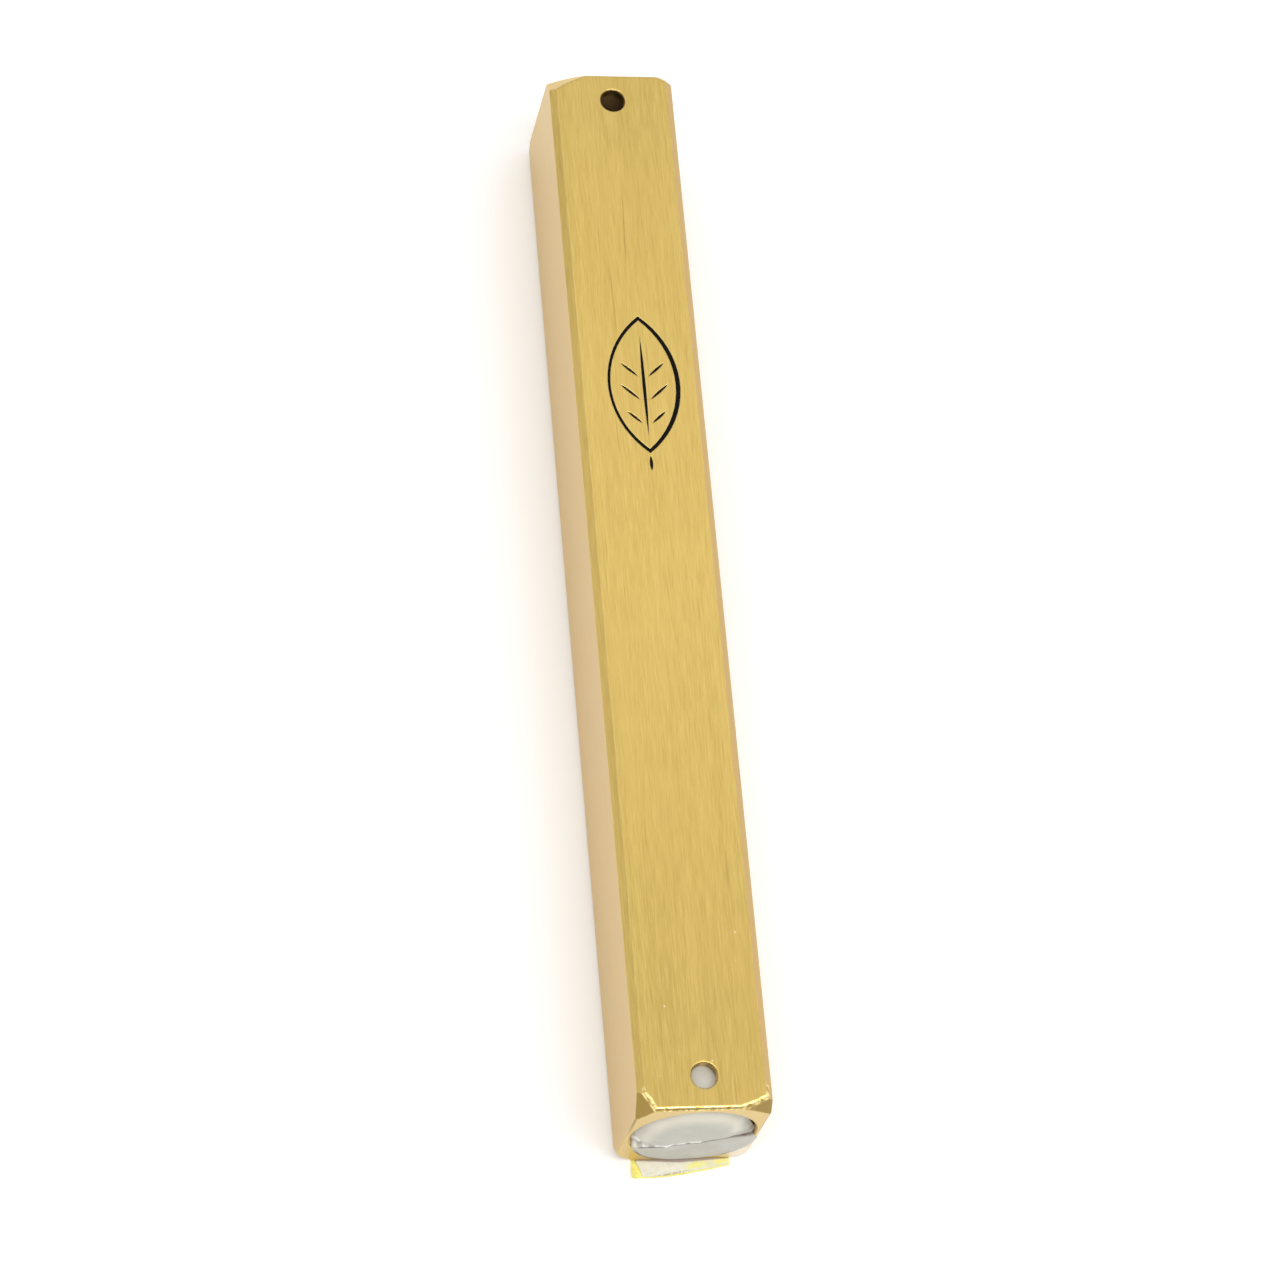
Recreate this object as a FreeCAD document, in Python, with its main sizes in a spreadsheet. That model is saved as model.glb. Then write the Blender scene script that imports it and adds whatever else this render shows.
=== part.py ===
import FreeCAD, Part
import math
import os
import Sketcher

Vector = FreeCAD.Vector
document = FreeCAD.newDocument("mezuzah_case")

# The case lies on its back. The origin is the middle of the outer face of the release liner,
# +Z comes out of the front face, +Y points at the top end and +X is to the right of the front.
DIMENSIONS = (
    ("case_length", 120.0),
    ("case_width", 13.8),
    ("case_depth", 16.0),
    ("front_edge_bevel", 0.75),
    ("back_edge_bevel", 0.6),
    ("bore_width", 12.8),
    ("bore_depth", 14.3),
    ("bore_drop", 0.2),
    ("bore_lip", 0.2),
    ("end_edge_round", 0.45),
    ("end_side_round", 0.25),
    ("hole_edge_break", 0.12),
    ("screw_hole_diameter", 2.7),
    ("upper_hole_height", 56.7),
    ("lower_hole_height", -56.4),
    ("groove_depth", 0.3),
    ("enamel_thickness", 0.26),
    ("plug_depth", 8.0),
    ("plug_clearance", 0.15),
    ("plug_proud", 0.12),
    ("plug_rim_round", 0.7),
    ("plug_lead_in", 0.6),
    ("plug_seam_tilt", 17.0),
    ("plug_seam_length", 10.6),
    ("plug_seam_width", 0.2),
    ("plug_seam_height", 0.15),
    ("top_plug_depth", 1.6),
    ("scroll_length", 100.0),
    ("scroll_radius", 4.95),
    ("parchment_thickness", 0.34),
    ("roll_pitch", 0.42),
    ("sleeve_length", 103.0),
    ("sleeve_radius", 5.15),
    ("sleeve_thickness", 0.15),
    ("scroll_clearance", 0.1),
    ("tape_thickness", 0.3),
    ("liner_thickness", 0.15),
    ("tape_top", 50.0),
)

# Each corner of the bar is filed off along an arc drawn on the front or back face. The arc's three
# points are given as a distance from the middle of the width and a distance from the end. The
# cut leans outwards by lean mm for each mm of depth, so that it fades away below the face.
CORNER_CUTS = (
    # name, side, end, level, arc, lean
    ("front_top_left", -1, 1, 1, ((1.6, -0.02), (4.0, 0.75), (7.4, 2.9)), 1.05),
    ("front_top_right", 1, 1, 1, ((3.4, -0.02), (6.0, 0.75), (7.4, 2.4)), 1.0),
    ("front_bottom_left", -1, -1, 1, ((5.1, -0.02), (6.2, 1.95), (7.4, 3.7)), 1.05),
    ("front_bottom_right", 1, -1, 1, ((0.6, -0.02), (4.6, 0.55), (7.4, 2.05)), 0.8),
    ("back_top_left", -1, 1, -1, ((4.8, -0.02), (6.2, 0.7), (7.4, 2.6)), 0.75),
    ("back_top_right", 1, 1, -1, ((4.8, -0.02), (6.2, 0.7), (7.4, 2.6)), 0.75),
    ("back_bottom_left", -1, -1, -1, ((4.8, -0.02), (6.2, 0.8), (7.4, 2.8)), 0.75),
    ("back_bottom_right", 1, -1, -1, ((5.2, -0.02), (6.3, 0.6), (7.4, 2.2)), 0.75),
)

# The tape's lower end is cut off at a slant: corners as x, y below the tape's square top end.
TAPE_LOWER_CORNERS = ((-4.7, -61.75), (5.2, -60.55))
LINER_LOWER_CORNERS = ((-5.15, -61.85), (5.35, -60.65))

CUT_MARGIN = 1.0
ROLL_HALF_TURNS = 8

# The engraved leaf: an outline swelling to the right, a midrib, a stem and pairs of side veins.
LEAF_MIDDLE = Vector(0.5, 21.45, 0)
LEAF_HALF_HEIGHT = 8.25
LEAF_HALF_WIDTH = 3.95
LEAF_TIP_STROKE = 0.5
LEAF_LEFT_STROKE = 0.3
LEAF_RIGHT_STROKE = 0.5
MIDRIB_ENDS = (-6.4, 6.0)
STEM_ENDS = (-10.35, -8.55)
RIB_HALF_WIDTH = 0.18
VEIN_START = 0.5
VEIN_ANGLE = 48.0
VEINS = ((-4.7, 2.2), (-1.9, 2.9), (0.9, 2.6))


def make_sheet():
    sheet = document.addObject("Spreadsheet::Sheet", "sheet")
    for row, (alias, value) in enumerate(DIMENSIONS, start=1):
        sheet.set(f"A{row}", alias.replace("_", " "))
        sheet.set(f"B{row}", str(value))
        sheet.setAlias(f"B{row}", alias)
    document.recompute()
    return sheet


sheet = make_sheet()


def size(alias):
    return float(sheet.get(alias))


def make_body(label):
    body = document.addObject("PartDesign::Body", label)
    body.Label = label
    return body


def origin_plane(body, role):
    return next(item for item in body.Origin.OriginFeatures if item.Role == role)


def make_sketch(body, name, role):
    sketch = body.newObject("Sketcher::SketchObject", name)
    sketch.AttachmentSupport = (origin_plane(body, role), [""])
    sketch.MapMode = "FlatFace"
    return sketch


def bind(sketch, constraint, expression):
    """Adds a constraint whose value is worked out from the sheet."""
    index = sketch.addConstraint(constraint)
    sketch.setExpression(f"Constraints[{index}]", expression)


def add_rectangle(sketch, width, height):
    """A rectangle centred on the sketch's origin, sized by two expressions."""
    corners = [Vector(-5, -5, 0), Vector(5, -5, 0), Vector(5, 5, 0), Vector(-5, 5, 0)]
    for index in range(4):
        sketch.addGeometry(Part.LineSegment(corners[index], corners[(index + 1) % 4]))
    for index in range(4):
        sketch.addConstraint(Sketcher.Constraint("Coincident", index, 2, (index + 1) % 4, 1))
    for index, direction in enumerate(("Horizontal", "Vertical", "Horizontal", "Vertical")):
        sketch.addConstraint(Sketcher.Constraint(direction, index))
    sketch.addConstraint(Sketcher.Constraint("Symmetric", 0, 1, 1, 2, -1, 1))
    bind(sketch, Sketcher.Constraint("Distance", 0, 10.0), width)
    bind(sketch, Sketcher.Constraint("Distance", 1, 10.0), height)


def add_oval(sketch, width, height):
    """An upright ellipse centred on the sketch's origin, sized by two expressions."""
    oval = sketch.addGeometry(Part.Ellipse(Vector(0, 7, 0), Vector(6, 0, 0), Vector(0, 0, 0)))
    sketch.exposeInternalGeometry(oval)
    tall_axis, wide_axis = oval + 1, oval + 2
    sketch.addConstraint(Sketcher.Constraint("Coincident", oval, 3, -1, 1))
    sketch.addConstraint(Sketcher.Constraint("Vertical", tall_axis))
    bind(sketch, Sketcher.Constraint("Distance", wide_axis, 12.0), width)
    bind(sketch, Sketcher.Constraint("Distance", tall_axis, 14.0), height)


def add_circle(sketch, diameter, height="0"):
    """A circle on the sketch's upright axis, at a height given by an expression."""
    circle = sketch.addGeometry(Part.Circle(Vector(0, 1, 0), Vector(0, 0, 1), 1))
    sketch.addConstraint(Sketcher.Constraint("PointOnObject", circle, 3, -2))
    bind(sketch, Sketcher.Constraint("DistanceY", -1, 1, circle, 3, 1.0), height)
    bind(sketch, Sketcher.Constraint("Diameter", circle, 2.0), diameter)


def add_polygon(sketch, points):
    for index, point in enumerate(points):
        following = points[(index + 1) % len(points)]
        sketch.addGeometry(Part.LineSegment(Vector(*point, 0), Vector(*following, 0)))


def add_lens(sketch, start, end, left, right):
    """Two arcs between the same two points, bulging by left and right."""
    along = end - start
    middle = (start + end) * 0.5
    across = Vector(along.y, -along.x, 0)
    across.normalize()
    sketch.addGeometry(Part.Arc(start, middle + across * right, end))
    sketch.addGeometry(Part.Arc(end, middle - across * left, start))


def add_leaf(sketch):
    up = Vector(0, 1, 0)
    inner_height = LEAF_HALF_HEIGHT - LEAF_TIP_STROKE
    add_lens(
        sketch, LEAF_MIDDLE - up * LEAF_HALF_HEIGHT, LEAF_MIDDLE + up * LEAF_HALF_HEIGHT,
        LEAF_HALF_WIDTH, LEAF_HALF_WIDTH,
    )
    add_lens(
        sketch, LEAF_MIDDLE - up * inner_height, LEAF_MIDDLE + up * inner_height,
        LEAF_HALF_WIDTH - LEAF_LEFT_STROKE, LEAF_HALF_WIDTH - LEAF_RIGHT_STROKE,
    )
    for low, high in (MIDRIB_ENDS, STEM_ENDS):
        add_lens(sketch, LEAF_MIDDLE + up * low, LEAF_MIDDLE + up * high, RIB_HALF_WIDTH, RIB_HALF_WIDTH)
    slope = math.radians(VEIN_ANGLE)
    for height, length in VEINS:
        for side in (-1, 1):
            start = LEAF_MIDDLE + Vector(side * VEIN_START, height, 0)
            end = start + Vector(side * math.sin(slope), math.cos(slope), 0) * length
            add_lens(sketch, start, end, RIB_HALF_WIDTH * 0.8, RIB_HALF_WIDTH * 0.8)


def add_pad(body, name, sketch, length, side="Symmetric", reverse=False):
    pad = body.newObject("PartDesign::Pad", name)
    pad.Profile = sketch
    pad.SideType = side
    pad.Reversed = reverse
    pad.setExpression("Length", length)
    document.recompute()
    return pad


def add_pocket(body, name, sketch, length, side="Symmetric", direction=None):
    """Cuts the sketch out of the body and makes sure that it did remove material."""
    before = body.Shape.Volume
    pocket = body.newObject("PartDesign::Pocket", name)
    pocket.Profile = sketch
    pocket.SideType = side
    if direction is not None:
        pocket.UseCustomVector = True
        pocket.Direction = direction
    pocket.setExpression("Length", length)
    document.recompute()
    if not body.Shape.Volume < before - 1e-6:
        raise RuntimeError(f"{name} cut nothing")
    return pocket


def add_edge_cut(body, kind, name, expression, is_wanted):
    """A Chamfer or Fillet on the edges of the body's tip that the test picks."""
    base = body.Tip
    names = [f"Edge{i}" for i, edge in enumerate(base.Shape.Edges, start=1) if is_wanted(edge)]
    if not names:
        raise RuntimeError(f"{name} found no edges")
    cut = body.newObject(f"PartDesign::{kind}", name)
    cut.Base = (base, names)
    cut.setExpression("Radius" if kind == "Fillet" else "Size", expression)
    document.recompute()
    return cut


def all_points(edge, test):
    first, last = edge.ParameterRange
    steps = (0.0, 0.25, 0.5, 0.75, 1.0)
    return all(test(edge.valueAt(first + (last - first) * step)) for step in steps)


def near(value, target):
    return abs(value - target) < 1e-4


def cut_corner(body, name, side, end, level, arc, lean):
    """Files one corner of the bar off below an arc drawn on its front or back face."""
    half_length = size("case_length") / 2
    sketch = make_sketch(body, name + "_arc", "XY_Plane")
    sketch.setExpression("AttachmentOffset.Base.z", f"{level} * sheet.case_depth / 2")
    start, middle, finish = (Vector(side * x, end * (half_length - cut), 0) for x, cut in arc)
    above = end * (half_length + CUT_MARGIN)
    corners = (finish, Vector(finish.x, above, 0), Vector(start.x, above, 0), start)
    sketch.addGeometry(Part.Arc(start, middle, finish))
    for first, second in zip(corners, corners[1:]):
        sketch.addGeometry(Part.LineSegment(first, second))
    add_pocket(body, name + "_cut", sketch, "sheet.case_depth / 2", side="One side",
               direction=Vector(0, end * lean, -level))


def make_case_body():
    body = make_body("case_body")
    half_length = size("case_length") / 2
    half_depth = size("case_depth") / 2
    half_width = size("case_width") / 2

    section = make_sketch(body, "case_section", "XZ_Plane")
    add_rectangle(section, "sheet.case_width", "sheet.case_depth")
    add_pad(body, "case_bar", section, "sheet.case_length")

    for name, level, expression in (
        ("front_edges", half_depth, "sheet.front_edge_bevel"),
        ("back_edges", -half_depth, "sheet.back_edge_bevel"),
    ):
        def is_long_edge(edge, level=level):
            return all_points(edge, lambda p: near(abs(p.x), half_width) and near(p.z, level))
        add_edge_cut(body, "Chamfer", name, expression, is_long_edge)

    for corner in CORNER_CUTS:
        cut_corner(body, *corner)

    def is_side_end_edge(edge):
        return all_points(edge, lambda p: near(abs(p.x), half_width) and near(abs(p.y), half_length))
    add_edge_cut(body, "Fillet", "end_side_round", "sheet.end_side_round", is_side_end_edge)

    def is_front_end_edge(edge):
        return all_points(edge, lambda p: near(p.z, half_depth)) and edge.Length < size("case_width")
    add_edge_cut(body, "Fillet", "end_edge_round", "sheet.end_edge_round", is_front_end_edge)

    bore = make_sketch(body, "bore_section", "XZ_Plane")
    bore.setExpression("AttachmentOffset.Base.y", "-sheet.bore_drop")
    add_oval(bore, "sheet.bore_width", "sheet.bore_depth")
    add_pocket(body, "bore", bore, "sheet.case_length + 2")

    def is_bore_mouth(edge):
        return edge.isClosed() and all_points(edge, lambda p: near(abs(p.y), half_length))
    add_edge_cut(body, "Chamfer", "bore_lips", "sheet.bore_lip", is_bore_mouth)

    holes = make_sketch(body, "screw_hole_centres", "XY_Plane")
    add_circle(holes, "sheet.screw_hole_diameter", "sheet.upper_hole_height")
    add_circle(holes, "sheet.screw_hole_diameter", "sheet.lower_hole_height")
    add_pocket(body, "screw_holes", holes, "sheet.case_depth + 2")

    def is_hole_mouth(edge):
        return edge.Curve.TypeId == "Part::GeomCircle" and all_points(edge, lambda p: near(p.z, half_depth))
    add_edge_cut(body, "Chamfer", "hole_edge_break", "sheet.hole_edge_break", is_hole_mouth)

    leaf = make_sketch(body, "leaf_grooves", "XY_Plane")
    leaf.setExpression("AttachmentOffset.Base.z", "sheet.case_depth / 2")
    add_leaf(leaf)
    add_pocket(body, "leaf_engraving", leaf, "sheet.groove_depth", side="One side")

    body.setExpression(".Placement.Base.z", CASE_MIDDLE)
    return body


CASE_BACK = "sheet.liner_thickness + sheet.tape_thickness"
CASE_MIDDLE = CASE_BACK + " + sheet.case_depth / 2"
BORE_MIDDLE = CASE_MIDDLE + " - sheet.bore_drop"


def make_engraving_enamel():
    """Black paint in the floor of the leaf's grooves, a little below the front face."""
    body = make_body("engraving_enamel")
    leaf = make_sketch(body, "enamel_outline", "XY_Plane")
    add_leaf(leaf)
    add_pad(body, "enamel_fill", leaf, "sheet.enamel_thickness", side="One side")
    body.setExpression(".Placement.Base.z", CASE_BACK + " + sheet.case_depth - sheet.groove_depth")
    return body


def make_bottom_plug():
    """The soft stopper that the scroll comes out behind, with the seam that its mould left."""
    body = make_body("bottom_plug")
    outline = make_sketch(body, "plug_section", "XZ_Plane")
    slack = " - 2 * sheet.plug_clearance"
    add_oval(outline, "sheet.bore_width" + slack, "sheet.bore_depth" + slack)
    plug = add_pad(body, "plug_block", outline, "sheet.plug_depth", side="One side", reverse=True)
    inner_end = plug.Shape.BoundBox.YMax

    def is_outer_rim(edge):
        return all_points(edge, lambda p: near(p.y, 0))

    def is_inner_rim(edge):
        return all_points(edge, lambda p: near(p.y, inner_end))
    add_edge_cut(body, "Fillet", "plug_rim", "sheet.plug_rim_round", is_outer_rim)
    add_edge_cut(body, "Chamfer", "plug_lead_in", "sheet.plug_lead_in", is_inner_rim)

    seam = make_sketch(body, "seam_outline", "XZ_Plane")
    seam.AttachmentOffset = FreeCAD.Placement(
        Vector(0, -1, 0), FreeCAD.Rotation(Vector(0, 0, 1), size("plug_seam_tilt"))
    )
    add_rectangle(seam, "sheet.plug_seam_length", "sheet.plug_seam_width")
    add_pad(body, "plug_seam", seam, "2 * sheet.plug_seam_height")

    body.setExpression(".Placement.Base.y", "-sheet.case_length / 2 - sheet.plug_proud")
    body.setExpression(".Placement.Base.z", BORE_MIDDLE)
    return body


def make_top_plug():
    """A shallow closure pressed into the upper mouth of the bore, clear of the upper screw."""
    body = make_body("top_plug")
    outline = make_sketch(body, "top_plug_section", "XZ_Plane")
    add_oval(outline, "sheet.bore_width", "sheet.bore_depth")
    add_pad(body, "top_plug_block", outline, "sheet.top_plug_depth", side="One side")

    def is_outer_rim(edge):
        return all_points(edge, lambda p: near(p.y, 0))
    add_edge_cut(body, "Fillet", "top_plug_rim", "sheet.bore_lip", is_outer_rim)
    body.setExpression(".Placement.Base.y", "sheet.case_length / 2")
    body.setExpression(".Placement.Base.z", BORE_MIDDLE)
    return body


SCROLL_MIDDLE = BORE_MIDDLE + " - (sheet.bore_depth / 2 - sheet.sleeve_radius - sheet.scroll_clearance)"


def add_half_turn(sketch, radius, is_upper):
    """One half turn of the roll. Lower halves sit half a pitch aside, which makes the spiral."""
    centre_x = 0.0 if is_upper else -size("roll_pitch") / 2
    start_angle = 0.0 if is_upper else math.pi
    circle = Part.Circle(Vector(centre_x, 0, 0), Vector(0, 0, 1), radius)
    sketch.addGeometry(Part.ArcOfCircle(circle, start_angle, start_angle + math.pi))


def make_parchment_scroll():
    """One sheet rolled up with its written side inwards, drawn as a spiral of half circles."""
    body = make_body("parchment_scroll")
    spiral = make_sketch(body, "roll_section", "XZ_Plane")
    outer = size("scroll_radius")
    thickness = size("parchment_thickness")
    step = size("roll_pitch") / 2
    for face in (outer, outer - thickness):
        for turn in range(ROLL_HALF_TURNS):
            add_half_turn(spiral, face - turn * step, turn % 2 == 0)
    for sheet_end in (outer, outer - ROLL_HALF_TURNS * step):
        spiral.addGeometry(Part.LineSegment(Vector(sheet_end, 0, 0), Vector(sheet_end - thickness, 0, 0)))
    add_pad(body, "roll", spiral, "sheet.scroll_length")
    body.setExpression(".Placement.Base.z", SCROLL_MIDDLE)
    return body


def make_scroll_sleeve():
    """A clear film tube that keeps the scroll rolled and dry."""
    body = make_body("scroll_sleeve")
    ring = make_sketch(body, "sleeve_section", "XZ_Plane")
    add_circle(ring, "2 * sheet.sleeve_radius")
    add_circle(ring, "2 * (sheet.sleeve_radius - sheet.sleeve_thickness)")
    add_pad(body, "sleeve_tube", ring, "sheet.sleeve_length")
    body.setExpression(".Placement.Base.z", SCROLL_MIDDLE)
    return body


def make_strip(label, lower_corners, thickness, height):
    """A flat strip on the back, square at its top end and cut at a slant at its lower end."""
    body = make_body(label)
    outline = make_sketch(body, label + "_outline", "XY_Plane")
    left, right = lower_corners
    top = size("tape_top")
    add_polygon(outline, (left, right, (right[0], top), (left[0], top)))
    add_pad(body, label + "_sheet", outline, thickness, side="One side")
    body.setExpression(".Placement.Base.z", height)
    return body


def check_and_export(parts):
    document.recompute()
    for item in document.Objects:
        if "Invalid" in item.State or "Error" in item.State:
            raise RuntimeError(f"{item.Name} failed: {item.State}")
    os.makedirs("parts", exist_ok=True)
    for part in parts:
        shape = part.Shape
        if shape.isNull() or not shape.isValid():
            raise RuntimeError(f"{part.Label} has no valid shape")
        box = shape.BoundBox
        print(
            f"{part.Label}: {len(shape.Solids)} solids, {shape.Volume:.1f} mm3, "
            f"x {box.XMin:.2f} to {box.XMax:.2f}, y {box.YMin:.2f} to {box.YMax:.2f}, "
            f"z {box.ZMin:.2f} to {box.ZMax:.2f}"
        )
        shape.exportStep(f"parts/{part.Label}.step")


parts = [
    make_case_body(),
    make_engraving_enamel(),
    make_bottom_plug(),
    make_top_plug(),
    make_parchment_scroll(),
    make_scroll_sleeve(),
    make_strip("adhesive_tape", TAPE_LOWER_CORNERS, "sheet.tape_thickness", "sheet.liner_thickness"),
    make_strip("release_liner", LINER_LOWER_CORNERS, "sheet.liner_thickness", "0"),
]
check_and_export(parts)
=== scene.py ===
import math

import bmesh
import bpy
from mathutils import Matrix, Vector, noise


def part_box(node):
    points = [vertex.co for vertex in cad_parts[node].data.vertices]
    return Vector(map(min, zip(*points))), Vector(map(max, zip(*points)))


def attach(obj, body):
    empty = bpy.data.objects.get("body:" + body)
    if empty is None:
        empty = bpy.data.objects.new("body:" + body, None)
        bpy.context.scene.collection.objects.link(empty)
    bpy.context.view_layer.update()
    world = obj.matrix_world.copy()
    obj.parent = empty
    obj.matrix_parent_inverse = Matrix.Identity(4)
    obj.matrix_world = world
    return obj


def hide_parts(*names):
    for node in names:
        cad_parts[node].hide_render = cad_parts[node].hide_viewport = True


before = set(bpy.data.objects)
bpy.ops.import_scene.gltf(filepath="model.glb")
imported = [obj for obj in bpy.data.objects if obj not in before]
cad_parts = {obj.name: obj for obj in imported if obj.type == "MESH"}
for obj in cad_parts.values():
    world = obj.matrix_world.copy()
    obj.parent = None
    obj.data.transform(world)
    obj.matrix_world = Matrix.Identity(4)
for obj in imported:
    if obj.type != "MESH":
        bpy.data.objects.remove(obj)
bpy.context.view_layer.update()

# Lengths below are in millimetres unless a comment says otherwise: +X to the right of the front
# face, +Y to the top end, +Z out of the front face. MM turns them into Blender's metres.
MM = 0.001


def box_mm(node):
    return tuple(Vector(corner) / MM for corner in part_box(node))


case_low, case_high = box_mm("case_body")
plug_low, plug_high = box_mm("bottom_plug")
scroll_low, scroll_high = box_mm("parchment_scroll")
sleeve_low, sleeve_high = box_mm("scroll_sleeve")
tape_low, tape_high = box_mm("adhesive_tape")
liner_low, liner_high = box_mm("release_liner")
LOWER_END = case_low.y
FRONT = case_high.z
BORE_HEIGHT = (plug_low.z + plug_high.z) / 2

# The camera's distance and aim are in metres.
CAMERA_AZIMUTH = math.radians(-25.1)
CAMERA_ELEVATION = math.radians(63.64)
CAMERA_ROLL = math.radians(22.36)
CAMERA_DISTANCE = 0.4694
CAMERA_LENS = 124.1
CAMERA_AIM = Vector((-0.00078, -0.00492, 0.00825))

# Brightness of the sky, and the share left of it where a dark card stands low in front.
WORLD_ZENITH = 1.08
WORLD_HORIZON = 0.6
DARK_CARD_WAY = (-0.15, -0.85, 0.42)
DARK_CARD_LEFT = 0.4

# The lamp's distance and sides are in metres.
KEY_WAY = Vector((0.02, -0.31, 0.95))
KEY_DISTANCE = 0.8
KEY_WIDTH = 0.8
KEY_DEPTH = 0.32
KEY_RADIANCE = 3.6

FLOOR_HALF = 2000
FLOOR_DROP = 0.02
FLOOR_GLOW = 0.07
UNDER_GLOW = 0.2


class Nodes:
    """A short way to write shader nodes: a call adds what it needs and returns the output."""

    def __init__(self, owner):
        owner.use_nodes = True
        self.owner = owner
        self.tree = owner.node_tree
        self.tree.nodes.clear()

    def node(self, kind, inputs=None, **settings):
        made = self.tree.nodes.new(kind)
        for key, value in settings.items():
            setattr(made, key, value)
        for key, value in (inputs or {}).items():
            if isinstance(value, bpy.types.NodeSocket):
                self.tree.links.new(value, made.inputs[key])
            else:
                made.inputs[key].default_value = value
        return made

    def place(self):
        """Position on the piece in millimetres; it stays with the piece when a joint moves it."""
        coords = self.node("ShaderNodeTexCoord")
        return self.scaled(coords.outputs["Object"], (1 / MM, 1 / MM, 1 / MM))

    def vector(self, operation, a, b=(0.0, 0.0, 0.0), output=0):
        made = self.node("ShaderNodeVectorMath", {0: a, 1: b}, operation=operation)
        return made.outputs[output]

    def scaled(self, vector, factors):
        return self.vector("MULTIPLY", vector, factors)

    def split(self, vector):
        return self.node("ShaderNodeSeparateXYZ", {0: vector}).outputs

    def noise(self, vector, scale=1.0, detail=2.0, rough=0.5):
        made = self.node(
            "ShaderNodeTexNoise",
            {"Vector": vector, "Scale": scale, "Detail": detail, "Roughness": rough},
        )
        return made.outputs["Fac"]

    def cells(self, vector, scale=1.0):
        """Distance to the nearest of many scattered points."""
        made = self.node("ShaderNodeTexVoronoi", {"Vector": vector, "Scale": scale})
        return made.outputs["Distance"]

    def math(self, operation, a, b=0.0):
        return self.node("ShaderNodeMath", {0: a, 1: b}, operation=operation).outputs[0]

    def off(self, value, middle):
        """Distance of a value from a middle, on either side."""
        return self.math("ABSOLUTE", self.math("SUBTRACT", value, middle))

    def product(self, *values):
        result = values[0]
        for value in values[1:]:
            result = self.math("MULTIPLY", result, value)
        return result

    def spread(self, value, from_low, from_high, to_low=0.0, to_high=1.0):
        """Maps one range evenly onto another and stops at its ends."""
        made = self.node(
            "ShaderNodeMapRange",
            {0: value, 1: from_low, 2: from_high, 3: to_low, 4: to_high},
        )
        return made.outputs[0]

    def mix(self, fac, a, b):
        made = self.node("ShaderNodeMix", {0: fac, 6: a, 7: b}, data_type="RGBA")
        return made.outputs[2]

    def attribute(self, name):
        return self.node("ShaderNodeAttribute", attribute_name=name).outputs["Fac"]

    def bump(self, height, depth, normal=None):
        """Bends the normal as if the surface rose by height times depth, in millimetres."""
        inputs = {"Height": height, "Distance": depth * MM}
        if normal is not None:
            inputs["Normal"] = normal
        return self.node("ShaderNodeBump", inputs).outputs["Normal"]

    def surface(self, shader):
        output = self.node("ShaderNodeOutputMaterial")
        self.tree.links.new(shader, output.inputs["Surface"])
        return self.owner

    def principled(self, inputs):
        return self.surface(self.node("ShaderNodeBsdfPrincipled", inputs).outputs[0])


def new_nodes(name):
    return Nodes(bpy.data.materials.new(name))


def wear(piece, material):
    piece.data.materials.clear()
    piece.data.materials.append(material)


# ---------------------------------------------------------------- gold

GOLD = (0.691, 0.506, 0.157, 1)
GOLD_DARK = (0.5535, 0.389, 0.106, 1)
GOLD_CLOUD = (0.69, 0.48, 0.15, 1)
GOLD_END_REFLECTION = (0.74, 0.56, 0.26, 1)
GOLD_EDGE = (0.80, 0.62, 0.25, 1)
GOLD_SIDE_REFLECTION = (0.66, 0.482, 0.272, 1)
GOLD_BEVEL_REFLECTION = (0.62, 0.40, 0.20, 1)
GOLD_SHADE = (0.20, 0.125, 0.035, 1)
GOLD_GLINT_DOT = (0.93, 0.75, 0.33, 1)
GOLD_GLINT_SPECK = (0.98, 0.88, 0.55, 1)
GOLD_SCRATCH = (0.36, 0.24, 0.07, 1)
GOLD_FLOOR_REFLECTION = (0.90, 0.83, 0.76, 1)
CAP_CLOUD = (0.56, 0.39, 0.11, 1)
CAP_INSIDE_SHADE = (0.34, 0.21, 0.09, 1)
PALEST_HEIGHT = 8.0
SCRATCH_HEIGHT = 40.5
SCRATCH_LEAN = 0.04
SCRATCH_LEFT = 0.1
EDGE_WEAR = 0.22


def brushed_lines(n, place, end_face):
    """Fine lines: along the length on the long faces, sawn across on the two end faces."""
    along = n.noise(n.scaled(place, (7.0, 0.3, 7.0)), detail=3.0, rough=0.65)
    broad = n.noise(n.scaled(place, (1.1, 0.03, 1.1)), detail=3.0, rough=0.5)
    across = n.noise(n.scaled(place, (0.5, 0.5, 8.0)), detail=3.0, rough=0.6)
    side_lines = n.math("ADD", n.math("MULTIPLY", along, 0.72), n.math("MULTIPLY", broad, 0.28))
    return n.node("ShaderNodeMix", {0: end_face, 2: side_lines, 3: across}).outputs[0]


def scratched(n, place):
    """Hairlines along the length, and one longer scratch on the front near the top."""
    x, y, z = n.split(place)[0:3]
    hair = n.noise(n.scaled(place, (5.2, 0.11, 5.2)), detail=1.0)
    hairlines = n.spread(hair, 0.70, 0.77, 0.0, 0.32)
    along = n.math("SUBTRACT", y, SCRATCH_HEIGHT)
    across = n.math("SUBTRACT", x, n.math("MULTIPLY", along, SCRATCH_LEAN))
    long_scratch = n.product(
        n.spread(n.off(across, -SCRATCH_LEFT), 0.055, 0.015),
        n.spread(n.math("ABSOLUTE", along), 5.0, 2.5),
        n.spread(z, FRONT - 0.95, FRONT - 0.45),
    )
    return n.math("MAXIMUM", hairlines, n.math("MULTIPLY", long_scratch, 0.75))


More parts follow.
